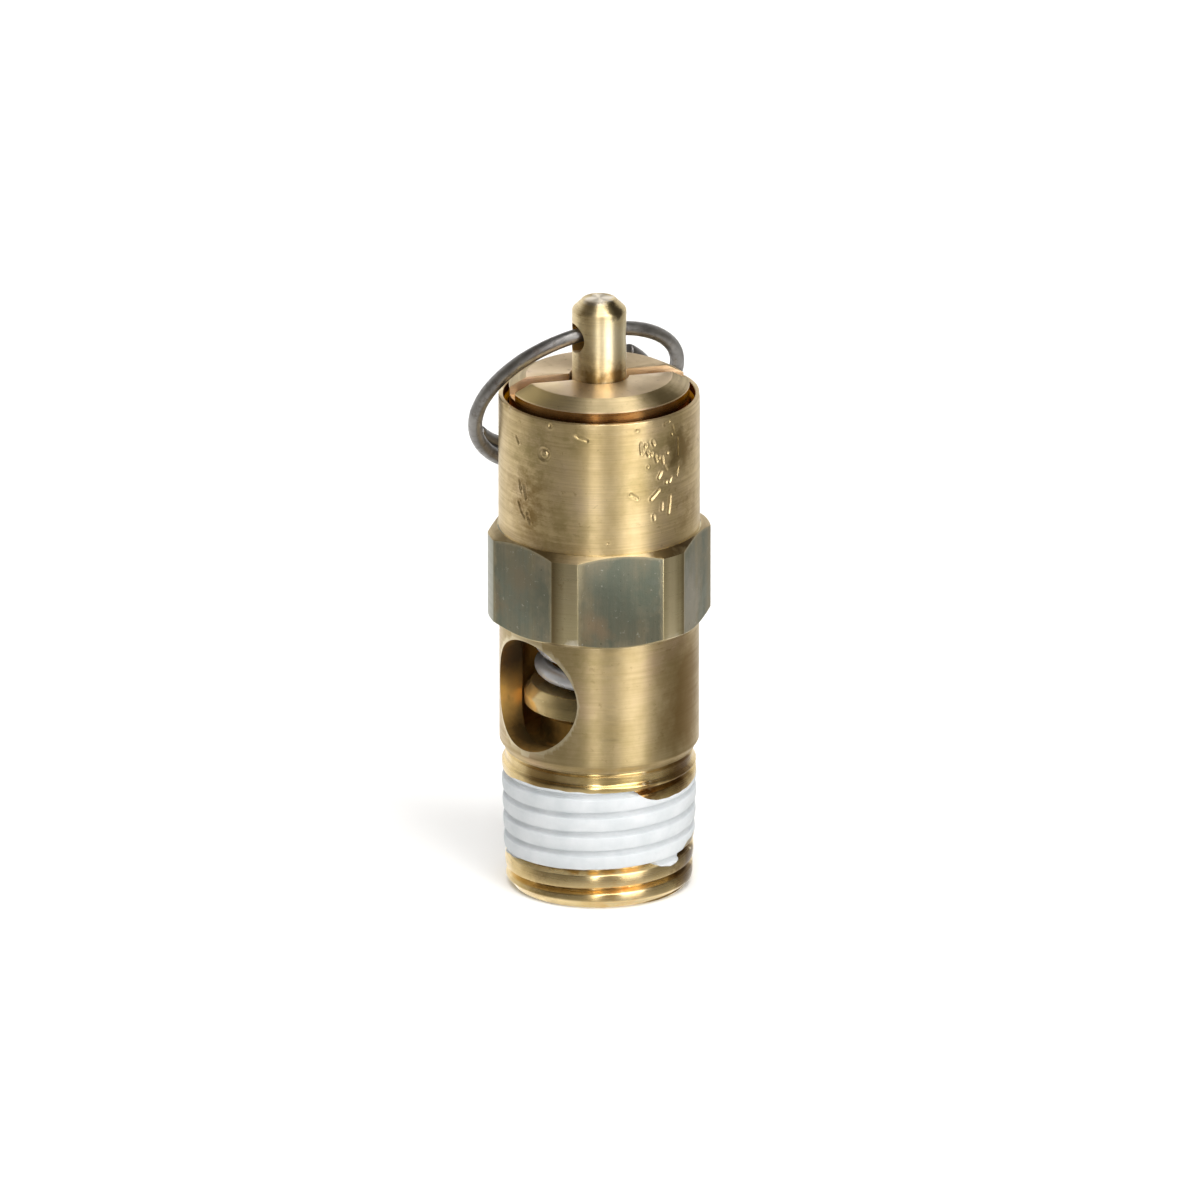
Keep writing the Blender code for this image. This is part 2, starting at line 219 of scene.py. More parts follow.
# ---- shader helper ----------------------------------------------------------------
class Shader:
    """Builds a node material; lengths in millimetres."""

    def __init__(self, name):
        self.mat = bpy.data.materials.new(name)
        self.mat.use_nodes = True
        self.tree = self.mat.node_tree
        self.bsdf = self.tree.nodes["Principled BSDF"]
        self.place = self.tree.nodes.new("ShaderNodeTexCoord").outputs["Object"]
        self.pointiness = None

    def node(self, kind, **values):
        item = self.tree.nodes.new(kind)
        for key, value in values.items():
            setattr(item, key, value)
        return item

    def put(self, socket, value):
        if isinstance(value, (int, float)):
            socket.default_value = value
        elif isinstance(value, tuple):
            socket.default_value = (*value, 1.0) if socket.type == "RGBA" else value
        else:
            self.tree.links.new(value, socket)

    def noise(self, scale, detail=3.0, roughness=0.6, offset=(0, 0, 0)):
        """Noise with a number of features per millimetre along each axis."""
        mapping = self.node("ShaderNodeMapping")
        mapping.inputs["Scale"].default_value = [s / MM for s in scale]
        mapping.inputs["Location"].default_value = offset
        self.put(mapping.inputs["Vector"], self.place)
        item = self.node("ShaderNodeTexNoise")
        for key, value in (("Scale", 1.0), ("Detail", detail), ("Roughness", roughness)):
            item.inputs[key].default_value = value
        self.put(item.inputs["Vector"], mapping.outputs["Vector"])
        return item.outputs["Fac"]

    def ramp(self, fac, stops):
        item = self.node("ShaderNodeValToRGB")
        elements = item.color_ramp.elements
        while len(elements) < len(stops):
            elements.new(0.5)
        for element, (pos, value) in zip(elements, stops):
            element.position = pos
            colour = value if isinstance(value, tuple) else (value, value, value)
            element.color = (*colour, 1.0)
        self.put(item.inputs["Fac"], fac)
        return item.outputs["Color"]

    def mix(self, fac, a, b):
        item = self.node("ShaderNodeMix", data_type="RGBA")
        colours = [s for s in item.inputs if s.type == "RGBA"]
        self.put(item.inputs["Factor"], fac)
        self.put(colours[0], a)
        self.put(colours[1], b)
        return [s for s in item.outputs if s.type == "RGBA"][0]

    def math(self, operation, a, b=0.0):
        item = self.node("ShaderNodeMath", operation=operation)
        self.put(item.inputs[0], a)
        self.put(item.inputs[1], b)
        return item.outputs["Value"]

    def span(self, value, low, high, to_low=0.0, to_high=1.0):
        item = self.node("ShaderNodeMapRange")
        for key, number in (("From Min", low), ("From Max", high),
                            ("To Min", to_low), ("To Max", to_high)):
            item.inputs[key].default_value = number
        self.put(item.inputs["Value"], value)
        return item.outputs["Result"]

    def blob(self, angle, radius, z, size, soft=0.5, ragged=0.5):
        """1 near a point on a barrel, 0 beyond size, with a ragged edge."""
        spot = (direction(angle) * radius + Vector((0, 0, z))) * MM
        away = self.node("ShaderNodeVectorMath", operation="DISTANCE")
        self.put(away.inputs[0], self.place)
        away.inputs[1].default_value = spot
        far = self.math("MULTIPLY", away.outputs["Value"], 1 / MM)
        rag = self.span(self.noise((0.9, 0.9, 0.9), 4), 0.3, 0.7, -ragged, ragged)
        return self.span(self.math("ADD", far, rag), size - soft, size + soft, 1.0, 0.0)

    def sector(self, angle, half, soft):
        """1 within half degrees of a bearing from the axis, fading over soft degrees."""
        flat = self.node("ShaderNodeVectorMath", operation="MULTIPLY")
        self.put(flat.inputs[0], self.place)
        flat.inputs[1].default_value = (1, 1, 0)
        unit = self.node("ShaderNodeVectorMath", operation="NORMALIZE")
        self.put(unit.inputs[0], flat.outputs[0])
        dot = self.node("ShaderNodeVectorMath", operation="DOT_PRODUCT")
        self.put(dot.inputs[0], unit.outputs[0])
        dot.inputs[1].default_value = direction(angle)
        away = self.math("MULTIPLY", self.math("ARCCOSINE", dot.outputs["Value"]), 57.2958)
        return self.span(away, half - soft / 2, half + soft / 2, 1.0, 0.0)

    def edges(self, low, high):
        """0 to 1 as the surface turns convex (high > low) or concave (high < low)."""
        if self.pointiness is None:
            self.pointiness = self.node("ShaderNodeNewGeometry").outputs["Pointiness"]
        return self.span(self.pointiness, low, high)

    def bump(self, height, distance, strength=1.0):
        item = self.node("ShaderNodeBump")
        item.inputs["Distance"].default_value = distance * MM
        item.inputs["Strength"].default_value = strength
        self.put(item.inputs["Height"], height)
        return item.outputs["Normal"]

    def set(self, name, value):
        self.put(self.bsdf.inputs[name], value)


def brass_material(name, tan, shade, blush, rough, aniso=0.8, streak=0.4, stain=0.4,
                   relief=0.010, turned=True, blobs=(), tint=None, sectors=(),
                   wear=0.7, metal=1.0):
    """Bare brass with tool marks: rings round Z when turned, else lines along Z."""
    s = Shader(name)
    patch = s.noise((0.20, 0.20, 0.14), 5, 0.62)
    tone = s.ramp(patch, [(0.34, shade), (0.50, tan), (0.68, blush)])
    if turned:
        coarse = s.noise((0.05, 0.05, 3.4), 3, 0.7)
        fine = s.noise((0.22, 0.22, 9.0), 3, 0.7, offset=(3, 1, 2))
    else:
        coarse = s.noise((2.2, 2.2, 0.05), 4, 0.7)
        fine = s.noise((7.0, 7.0, 0.35), 3, 0.7, offset=(3, 1, 2))
    lines = s.math("ADD", s.math("MULTIPLY", coarse, 0.5), s.math("MULTIPLY", fine, 0.5))
    tone = s.mix(s.span(lines, 0.42, 0.62, 0.0, streak), tone,
                 s.mix(0.55, tone, (0.30, 0.20, 0.08)))
    specks = s.noise((1.5, 1.5, 2.0), 5, 0.72, offset=(5, 5, 5))
    spots = s.span(specks, 0.60, 0.70, 0.0, stain)
    tone = s.mix(spots, tone, (0.26, 0.17, 0.06))
    # blobs and sectors mix colour into patches at given places: some are stains and patina,
    # others are painted highlights and painted shade, as noted at each material
    if blobs:
        broken = s.span(s.noise((0.75, 0.75, 1.1), 5, 0.7, offset=(9, 2, 4)), 0.40, 0.60)
    for angle, radius, z, size, soft, amount, colour in blobs:
        spread = s.math("MULTIPLY", s.blob(angle, radius, z, size, soft), amount)
        if amount < 0.9:
            spread = s.math("MULTIPLY", spread, broken)
        tone = s.mix(spread, tone, colour)
    for angle, half, soft, amount, colour in sectors:
        tone = s.mix(s.math("MULTIPLY", s.sector(angle, half, soft), amount), tone, colour)
    if wear:
        for low, high, colour in ((0.54, 0.64, (0.97, 0.86, 0.62)),
                                  (0.47, 0.38, (0.20, 0.115, 0.04))):
            tone = s.mix(s.math("MULTIPLY", s.edges(low, high), wear), tone, colour)
    s.set("Base Color", tone)
    s.set("Metallic", metal)
    if tint:
        s.set("Specular Tint", tint)
    rough_lines = s.span(lines, 0.35, 0.65, *rough)
    s.set("Roughness", s.math("ADD", rough_lines, s.math("MULTIPLY", spots, 0.2)))
    s.set("Anisotropic", aniso)
    s.set("Anisotropic Rotation", 0.25 if turned else 0.0)
    tangent = s.node("ShaderNodeTangent", direction_type="RADIAL", axis="Z")
    s.set("Tangent", tangent.outputs["Tangent"])
    ripple = s.math("ADD", lines, s.math("MULTIPLY", patch, 0.5))
    s.set("Normal", s.bump(ripple, relief, 0.7))
    return s.mat


# ---- pieces --------------------------------------------------------------------------
def finish_piece(item, body, nodes, slot, mat, *others):
    """Material, body and CAD nodes of a piece; others are (material, test) pairs, where
    test(radius, height, normal) picks faces by their centre."""
    item.data.materials.clear()
    item.data.materials.append(mat)
    for index, (other, test) in enumerate(others):
        item.data.materials.append(other)
        for face in item.data.polygons:
            c = face.center / MM
            if test(math.hypot(c.x, c.y), c.z, face.normal):
                face.material_index = index + 1
    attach(item, body)
    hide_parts(*nodes)
    return item


BROWN, OLIVE = (0.34, 0.215, 0.075), (0.42, 0.33, 0.14)
barrel_brass = brass_material(
    "turned_brass", (0.80, 0.63, 0.35), (0.64, 0.49, 0.24), (0.84, 0.66, 0.43),
    (0.36, 0.50), streak=0.6,
    blobs=((99, 6.98, 32.7, 0.8, 0.4, 0.92, (0.26, 0.18, 0.07)),
           (99, 6.98, 33.8, 0.7, 0.4, 0.92, (0.26, 0.18, 0.07)),
           (5, 6.98, 32.6, 2.0, 1.4, 0.75, OLIVE), (0, 6.98, 29.8, 1.6, 1.2, 0.85, BROWN),
           (8, 6.98, 28.0, 1.7, 1.3, 0.70, BROWN), (12, 6.98, 34.6, 1.2, 0.9, 0.6, OLIVE),
           (36, 6.98, 34.6, 0.9, 0.6, 0.55, OLIVE), (30, 6.98, 28.0, 1.8, 1.2, 0.45, OLIVE),
           (62, 6.98, 30.2, 1.2, 1.0, 0.35, OLIVE), (88, 6.98, 32.6, 2.4, 1.6, 0.70, OLIVE),
           (108, 6.98, 33.2, 1.4, 1.0, 0.80, BROWN),
           (112, 6.98, 28.5, 1.6, 1.2, 0.60, BROWN),
           (180, 6.98, 31.0, 2.6, 1.8, 0.50, OLIVE),
           (250, 6.98, 33.0, 2.0, 1.4, 0.50, BROWN)))
lower_brass = brass_material(
    "turned_brass_low", (0.66, 0.52, 0.29), (0.52, 0.40, 0.20), (0.70, 0.52, 0.34),
    (0.36, 0.50), streak=0.5,
    blobs=((38, 6.93, 18.2, 2.0, 1.4, 0.6, OLIVE),
           # painted highlight: the lighter patch at bearing 88; painted shade: the brown
           # patches at 108 and 110 on the right side
           (88, 6.93, 15.0, 1.3, 1.3, 0.85, (0.72, 0.57, 0.33)),
           (108, 6.93, 13.2, 2.2, 1.0, 0.9, BROWN),
           (34, 6.93, 12.4, 1.6, 1.2, 0.5, OLIVE), (110, 6.93, 16.4, 2.2, 1.2, 0.9, BROWN),
           (60, 6.93, 12.0, 1.6, 1.2, 0.4, OLIVE), (96, 6.93, 17.8, 1.2, 1.0, 0.4, OLIVE),
           (225, 6.93, 14.0, 2.4, 1.6, 0.4, OLIVE)))
bright_brass = brass_material(
    "polished_brass", (0.90, 0.70, 0.36), (0.72, 0.53, 0.22), (0.94, 0.75, 0.43),
    (0.22, 0.34), aniso=0.8, streak=0.4, stain=0.4, relief=0.004,
    # painted shade: the dark patches at bearings 110 to 123 low on the thread, at the
    # coat's top edge (80, 104) and under the shoulder (114)
    blobs=((60, 6.1, 0.6, 1.6, 1.0, 0.6, (0.80, 0.42, 0.10)),
           (10, 6.3, 1.0, 1.6, 1.0, 0.6, BROWN),
           (117, 6.45, 2.7, 1.5, 0.8, 0.95, (0.13, 0.075, 0.025)),
           (110, 6.4, 1.2, 0.9, 0.5, 0.9, (0.28, 0.17, 0.06)),
           (123, 6.4, 1.2, 1.3, 0.6, 0.93, (0.16, 0.10, 0.04)),
           (104, 6.4, 8.9, 1.5, 0.9, 0.95, (0.24, 0.14, 0.045)),
           (114, 6.4, 9.8, 1.3, 0.7, 0.95, (0.16, 0.09, 0.03)),
           (12, 6.5, 9.5, 1.7, 0.9, 0.92, (0.34, 0.22, 0.08)),
           (80, 6.4, 8.4, 0.8, 0.4, 0.92, (0.30, 0.16, 0.05))))
# painted light and shade inside the bores: the dark orange-brown tones are painted shade,
# the bright orange patch at bearing -41 low down is painted light bounced between the brass
# walls, and the dark patches at -41 high up and at -14 are painted shade
inner_brass = brass_material(
    "bored_brass", (0.50, 0.29, 0.075), (0.30, 0.16, 0.035), (0.62, 0.38, 0.12),
    (0.28, 0.40), aniso=0.3, streak=0.25, stain=0.4, relief=0.004,
    tint=(0.80, 0.56, 0.26), wear=0, metal=0.72,
    blobs=((-41, 6.1, 13.4, 1.5, 1.0, 0.95, (0.98, 0.62, 0.20)),
           (-41, 6.1, 17.2, 2.3, 1.2, 0.95, (0.13, 0.085, 0.045)),
           (-14, 5.5, 11.8, 1.9, 1.0, 0.95, (0.09, 0.055, 0.02))))
milled_brass = brass_material(
    "milled_slot", (0.60, 0.42, 0.25), (0.48, 0.32, 0.17), (0.68, 0.47, 0.32),
    (0.40, 0.52), aniso=0.3, streak=0.4, stain=0.4, wear=0)
holder_brass = brass_material(
    "machined_brass", (0.72, 0.56, 0.28), (0.52, 0.39, 0.17), (0.82, 0.66, 0.36),
    (0.16, 0.28), aniso=0.6, streak=0.4, stain=0.4, relief=0.006, metal=0.75,
    # painted shade: the dark patches at bearings 28 and 20 on the flange and hub
    blobs=((28, 5.2, 13.7, 1.7, 0.9, 0.9, (0.26, 0.20, 0.09)),
           (20, 3.0, 16.0, 1.6, 0.9, 0.9, (0.24, 0.18, 0.08))))
# dark copper-brown for the gap between cap and rim: stain specks plus painted shade of the
# recess
groove_brass = brass_material(
    "stain_and_painted_shade_groove", (0.34, 0.155, 0.045), (0.14, 0.055, 0.015), (0.52, 0.30, 0.12),
    (0.22, 0.34), aniso=0.9, streak=0.5, stain=0.7, tint=(0.75, 0.50, 0.25), wear=0)
cone_brass = brass_material(
    "coarse_turned_brass", (0.84, 0.69, 0.42), (0.72, 0.57, 0.32), (0.88, 0.73, 0.48),
    (0.58, 0.70), aniso=0.9, streak=0.5, stain=0.45, wear=0,
    # painted light and shade on the cap's cone: darker at bearings 52, 98 and 230, lighter
    # at -8
    blobs=((52, 5.9, 36.7, 1.5, 1.3, 0.9, (0.54, 0.44, 0.26)),
           (-8, 5.9, 36.7, 2.2, 1.2, 0.95, (0.96, 0.78, 0.40)),
           (98, 5.9, 36.7, 1.7, 1.2, 0.92, (0.32, 0.24, 0.11)),
           (230, 5.9, 36.7, 3.0, 1.8, 0.9, (0.50, 0.41, 0.20)),
           # painted shade on the hex's top chamfer: dark patches at bearings 88, 106, 12
           # and -18
           (88, 7.3, 26.1, 1.3, 0.6, 0.95, (0.22, 0.15, 0.06)),
           (106, 7.2, 26.2, 1.3, 0.6, 0.95, (0.18, 0.12, 0.05)),
           (12, 7.3, 26.1, 1.7, 0.9, 0.92, (0.32, 0.23, 0.10)),
           (-18, 7.3, 26.2, 1.2, 0.8, 0.92, (0.36, 0.27, 0.13))))
corner_brass = brass_material(
    "dulled_corners", (0.66, 0.57, 0.34), (0.52, 0.44, 0.25), (0.72, 0.62, 0.40),
    (0.26, 0.38), aniso=0.8, streak=0.4, stain=0.5, wear=0,
    # painted highlights: the light spots at the lower ends of the corners at bearings 33
    # and 89
    blobs=((33, 7.65, 19.8, 0.42, 0.25, 0.95, (0.98, 0.90, 0.72)),
           (89, 7.65, 19.8, 0.42, 0.25, 0.95, (0.98, 0.90, 0.72))),
    # painted highlight: the light stripe at bearing 88.5; painted shade: the dark stripes
    # at 23 and 97.5
    sectors=((88.5, 3.0, 3.0, 0.8, (0.92, 0.80, 0.52)),
             (23.0, 4.0, 6.0, 0.85, (0.21, 0.15, 0.07)),
             (97.5, 2.0, 3.0, 0.8, (0.21, 0.15, 0.07)),
             (-30, 9.0, 3.0, 0.9, (0.24, 0.245, 0.185)),
             (143, 3.0, 6.0, 0.8, (0.22, 0.16, 0.08)),
             (263, 4.0, 6.0, 0.8, (0.22, 0.16, 0.08)),
             (210, 6.0, 6.0, 0.6, (0.30, 0.27, 0.17))))


def tarnished_flats():
    """Hex flats: drawn lines, green-grey tarnish, brown patches and worn brass edges."""
    s = Shader("tarnished_flats")
    bands = s.noise((0.55, 0.55, 0.03), 4, 0.6)
    drawn = s.noise((6.0, 6.0, 0.30), 3, 0.7, offset=(3, 1, 2))
    cloud = s.noise((0.33, 0.33, 0.30), 5, 0.65, offset=(1, 7, 3))
    pits = s.noise((2.6, 2.6, 2.6), 5, 0.75, offset=(4, 4, 4))
    tone = s.ramp(bands, [(0.36, (0.205, 0.22, 0.168)), (0.50, (0.285, 0.27, 0.196)),
                          (0.66, (0.35, 0.30, 0.19))])
    tone = s.mix(s.span(cloud, 0.50, 0.66, 0.0, 0.7), tone, (0.43, 0.37, 0.26))
    tone = s.mix(s.span(cloud, 0.48, 0.34, 0.0, 0.6), tone, (0.25, 0.27, 0.21))
    tone = s.mix(s.span(drawn, 0.40, 0.66, 0.0, 0.2), tone, (0.18, 0.17, 0.13))
    for angle, z, size, amount, colour in (
            (2, 22.6, 2.0, 0.5, (0.20, 0.24, 0.205)),
            (20, 22.8, 1.6, 0.75, (0.19, 0.205, 0.155)),
            (-2, 23.4, 1.0, 0.6, (0.33, 0.27, 0.18)),
            (-28, 21.5, 1.2, 0.6, (0.38, 0.27, 0.16)),
            (46, 20.9, 0.9, 0.55, (0.42, 0.30, 0.19)),
            (60, 24.4, 2.0, 0.65, (0.215, 0.24, 0.19)),
            (79, 23.0, 1.5, 0.75, (0.20, 0.235, 0.185)),
            (102, 22.5, 1.9, 0.7, (0.41, 0.385, 0.335)),
            (110, 20.8, 1.3, 0.6, (0.42, 0.38, 0.30)),
            (200, 22.5, 1.6, 0.7, (0.36, 0.26, 0.12)),
            (270, 21.5, 1.5, 0.6, (0.38, 0.28, 0.17))):
        spread = s.math("MULTIPLY", s.blob(angle, 7.2, z, size, size * 0.7, 0.8), amount)
        tone = s.mix(spread, tone, colour)
    tone = s.mix(s.span(pits, 0.63, 0.69, 0.0, 0.8), tone, (0.60, 0.59, 0.50))
    tone = s.mix(s.span(pits, 0.36, 0.31, 0.0, 0.7), tone, (0.12, 0.11, 0.08))
    place = s.node("ShaderNodeSeparateXYZ")
    s.put(place.inputs[0], s.place)
    square = [s.math("MULTIPLY", place.outputs[k], place.outputs[k]) for k in "XY"]
    r = s.math("MULTIPLY", s.math("SQRT", s.math("ADD", *square)), 1 / MM)
    z = s.math("MULTIPLY", place.outputs["Z"], 1 / MM)
    rag = s.span(s.noise((2.6, 2.6, 0.9), 5, 0.7, offset=(8, 8, 8)), 0.3, 0.7, -0.07, 0.07)
    # near the chamfers' cones (30 degrees) and the turned corners the brass shows
    lean = s.math("MULTIPLY", r, 0.577)
    top = s.span(s.math("ADD", s.math("ADD", z, lean), rag), 30.02, 30.22)
    foot = s.span(s.math("ADD", s.math("SUBTRACT", z, lean), rag), 15.42, 15.24)
    side = s.span(s.math("ADD", r, rag), 7.63, 7.76)
    worn = s.math("MAXIMUM", s.math("MAXIMUM", top, foot), side)
    tone = s.mix(s.math("MULTIPLY", worn, 0.55), tone, (0.56, 0.48, 0.31))
    s.set("Base Color", tone)
    s.set("Metallic", 1.0)
    s.set("Roughness", s.span(cloud, 0.35, 0.65, 0.40, 0.54))
    s.set("Anisotropic", 0.45)
    tangent = s.node("ShaderNodeTangent", direction_type="RADIAL", axis="Z")
    s.set("Tangent", tangent.outputs["Tangent"])
    relief = s.math("ADD", s.math("MULTIPLY", drawn, 0.5), pits)
    s.set("Normal", s.bump(relief, 0.016, 0.7))
    return s.mat


hex_brass = tarnished_flats()

# small stamped setting marks on the spring barrel: ticks, dots and one ring
TICKS = [(72.6, 34.2, 73.0, 33.5), (76.4, 33.5, 77.0, 33.2), (80.0, 34.2, 81.2, 34.0),
         (81.6, 33.1, 82.8, 32.7), (86.6, 32.9, 87.2, 32.4), (88.6, 32.2, 90.0, 31.9),
         (84.6, 31.5, 86.0, 31.8), (88.5, 35.2, 92.0, 35.35), (95.0, 35.0, 96.4, 34.3),
         (98.6, 33.9, 99.2, 32.7), (100.2, 32.1, 98.6, 31.2), (93.4, 31.2, 92.0, 30.9),
         (79.0, 30.0, 84.6, 30.55), (80.6, 28.7, 81.0, 28.45),
         (92.8, 29.9, 91.8, 28.7), (86.2, 29.5, 86.5, 29.1), (66.5, 30.6, 70.0, 30.2),
         (35.0, 34.9, 41.0, 34.6), (-4.0, 30.8, -1.5, 30.0), (0.5, 30.6, 1.5, 29.6),
         (-5.0, 29.2, 1.0, 28.2), (-7.0, 33.9, -4.5, 33.5), (3.0, 28.7, 5.0, 27.9)]
DOTS = [(75.2, 34.0, 0.11), (79.0, 33.3, 0.12), (84.8, 32.9, 0.11), (90.6, 33.1, 0.10),
        (94.0, 34.4, 0.11), (89.6, 31.0, 0.10), (76.8, 32.4, 0.07),
        (-2.5, 30.3, 0.12), (2.5, 28.3, 0.10),
        (19.0, 35.42, 0.13), (70.0, 35.2, 0.08), (53.0, 27.1, 0.06)]
RINGS = [(14.8, 33.25, 0.36)]


def stamp(angle, z):
    """How far the struck marks move the barrel's wall, in millimetres."""
    def across(a):
        return math.radians(angle - a) * UPPER_R

    def struck(d, half, depth):
        if d > half * 3:
            return 0.0
        return -depth * math.exp(-(d / half) ** 2) + depth * 0.35 * math.exp(
            -((d - half * 1.7) / (half * 0.6)) ** 2)

    total = 0.0
    uneven = 0.75 + 0.7 * noise.noise(Vector((angle * 0.16, 1.0, z * 1.6)))
    stray = 0.10 * noise.noise(Vector((angle * 0.13, 8.0, z * 1.1)))
    for a0, z0, a1, z1 in TICKS:
        x0, x1 = across(a0), across(a1)
        if min(abs(x0), abs(x1)) > 1.2 or not min(z0, z1) - 0.5 < z < max(z0, z1) + 0.5:
            continue
        dx, dz = x0 - x1, z1 - z0
        t = min(max((x0 * dx + (z - z0) * dz) / (dx * dx + dz * dz), 0.0), 1.0)
        off = math.hypot(x0 - dx * t + stray, z - z0 - dz * t + stray)
        total += struck(off, 0.095, 0.068 * uneven)
    for a0, z0, r in DOTS:
        x = across(a0)
        if abs(x) < 0.8 and abs(z - z0) < 0.8:
            total += struck(math.hypot(x, z - z0), r, 0.08)
    for a0, z0, r in RINGS:
        x = across(a0)
        if abs(x) < 1.0 and abs(z - z0) < 1.0:
            total += struck(abs(math.hypot(x, z - z0) - r), 0.11, 0.08 * uneven)
    return min(max(total, -0.10), 0.035)


def barrel_wall(angle, z, r):
    if r < 6.9 or z < 26.2:
        return 0.0
    n = noise.noise(Vector((math.sin(math.radians(angle)) * 2.2,
                            math.cos(math.radians(angle)) * 2.2, z * 0.25)))
    lip = smoothstep((z - 35.3) / 0.5) * (
        0.05 * noise.noise(Vector((angle * 0.12, 3.0, z)))
        - 0.16 * math.exp(-((angle + 18.0) / 3.5) ** 2)
        - 0.10 * math.exp(-((angle - 138.0) / 4.0) ** 2))
    return stamp(angle, z) + 0.008 * n + min(lip, 0.0)


# upper (spring) barrel with its thin rim
marked = [(-22.5, 24.5), (34.5, 42.5), (50.5, 104.5)]
columns = []
a = -22.5
while a < 337.5 - 1e-6:
    columns.append(a)
    a += 0.5 if any(lo <= a < hi for lo, hi in marked) else 2.0
outer = [(UPPER_R, 25.2)] + [(UPPER_R, 26.3 + 0.075 * i) for i in range(125)]
rim = rounded([(UPPER_R, 35.62, 0), (UPPER_R, RIM_Z, 0.10), (6.66, RIM_Z, 0.06),
               (6.66, 35.15, 0.05), (6.36, 34.95, 0.04), (6.36, 32.4, 0), (6.0, 32.1, 0),
               (6.0, 25.2, 0)], 0.05, closed=False)
upper = revolve("spring_barrel", outer + rim[1:], columns, shift=barrel_wall, sharp=50)
finish_piece(upper, "valve", ["valve_body"], "turned_brass", barrel_brass,
             (groove_brass, lambda r, z, n: r < 6.80 and z < RIM_Z - 0.2))

# hexagon
flat_r = HEX_AF / 2 - 0.06
drop = (HEX_CORNER_R - flat_r) * math.tan(math.radians(30))
hexagon = revolve("hex_section", [
    (flat_r - 0.5, HEX_TOP), (flat_r, HEX_TOP), (HEX_CORNER_R, HEX_TOP - drop),
    (HEX_CORNER_R, HEX_LOW + drop), (flat_r, HEX_LOW), (6.2, HEX_LOW), (6.2, HEX_TOP)],
    even(240))
bm = bmesh.new()
bmesh.ops.create_cone(bm, cap_ends=True, segments=6, radius1=HEX_AF / math.sqrt(3) * MM,
                      radius2=HEX_AF / math.sqrt(3) * MM, depth=10 * MM)
hex_mesh = bpy.data.meshes.new("hex_bar")
bm.to_mesh(hex_mesh)
bm.free()
hex_bar = new_object("hex_bar", hex_mesh)
hex_bar.location.z = (HEX_LOW + HEX_TOP) / 2 * MM
hex_bar.rotation_euler.z = math.radians(30)
cut(hexagon, [hex_bar], "INTERSECT", bevel=0.09, bevel_angle=10, segments=3)


def on_flat(r, z, n):
    if abs(n.z) > 0.2 or r < 7.0:
        return False
    a = math.degrees(math.atan2(n.x, -n.y)) % 60.0
    return min(a, 60.0 - a) < 1.5


finish_piece(hexagon, "valve", ["valve_body"], "turned_brass", corner_brass,
             (hex_brass, on_flat), (cone_brass, lambda r, z, n: 0.2 < n.z < 0.98))

# discharge barrel with the two ports
lower = revolve("discharge_barrel", rounded([
    *((LOWER_R, 19.9 - 0.4 * i, 0) for i in range(23)),
    (LOWER_R, SHOULDER_Z, 0.09), (6.62, 10.15), (6.62, 10.02), (6.34, 9.97),
    (6.34, 9.90), (6.2, 9.9), (6.2, FLOOR_Z, 0), (CHAMBER_R, FLOOR_Z, 0.04),
    *((CHAMBER_R, 11.1 + 0.4 * i, 0) for i in range(23))], 0.04), even(256))
cut(lower, [cross_cylinder(PORT_R, 0, PORT_Z, 3.0, 9.0, 128),
            cross_cylinder(PORT_R, 180, PORT_Z, 3.0, 9.0, 128)],
    bevel=0.07, bevel_angle=40, segments=3)
finish_piece(lower, "valve", ["valve_body"], "turned_brass", lower_brass,
             (inner_brass, lambda r, z, n: r < 6.85 and z > 10.6))

# thread: wide crests with narrow roots, then the polished neck
def thread_form(angle, z, lead=0.0, crest=0.60):
    """1 over the crest, 0 in the root of the right-handed thread."""
    phase = (z - lead - CREST_Z0) / PITCH - (angle - FRONT_ANGLE) / 360.0
    d = abs((phase + 0.5) % 1.0 - 0.5) * 2
    return 1.0 - smoothstep((d - crest) / (1.0 - crest))


def thread_radius(angle, z):
    r = 6.50 + (z - CREST_Z0) / 32
    fade = smoothstep((z - 8.3) / 0.9)
    phase = (z - CREST_Z0) / PITCH - (angle - FRONT_ANGLE) / 360.0
    crown = (abs((phase + 0.5) % 1.0 - 0.5) * 2) ** 2
    r -= (0.42 * (1 - thread_form(angle, z)) + 0.12 * crown) * (1 - fade * 0.85)
    r = min(r, 6.03 + z * 0.8)
    r += 0.012 * noise.noise(direction(angle) * 3.0 + Vector((0, 0, z * 1.5)))
    t = smoothstep((z - 8.95) / 0.25)
    r = r * (1 - t) + NECK_R * t
    return r - 0.14 * smoothstep((z - 9.70) / 0.15)


def tube(name, columns, rows, point, inner, sharp=40):
    """Closed tube: point(angle, share) gives the outer (radius, height)."""
    verts, faces = [], []
    n = rows + 3
    for j in range(columns):
        a = 360.0 * j / columns
        out = direction(a)
        ring = [point(a, i / rows) for i in range(rows + 1)]
        ring += [(inner, ring[-1][1]), (inner, ring[0][1])]
        verts += [(out.x * r, out.y * r, z) for r, z in ring]
    for j in range(columns):
        k = (j + 1) % columns
        for i in range(n):
            m = (i + 1) % n
            faces.append((j * n + i, k * n + i, k * n + m, j * n + m))
    return mesh_object(name, verts, faces, sharp)


STUB_TOP, STUB_BORE = 9.95, 3.6
stub = tube("thread_end", 304, 210,
            lambda a, s: (thread_radius(a, STUB_TOP * s), STUB_TOP * s), STUB_BORE)
finish_piece(stub, "valve", ["valve_body"], "turned_brass", bright_brass)

# floor of the discharge chamber with its raised seat
seat = revolve("raised_seat", rounded([
    (3.47, 12.8), (3.70, 12.8), (3.95, 12.5), (4.15, 10.7, 0.3), (6.3, 10.7, 0),
    (6.3, 9.9, 0), (3.35, 9.9, 0), (3.35, 12.6)], 0.04), even(128))
finish_piece(seat, "valve", ["valve_body"], "turned_brass", inner_brass)

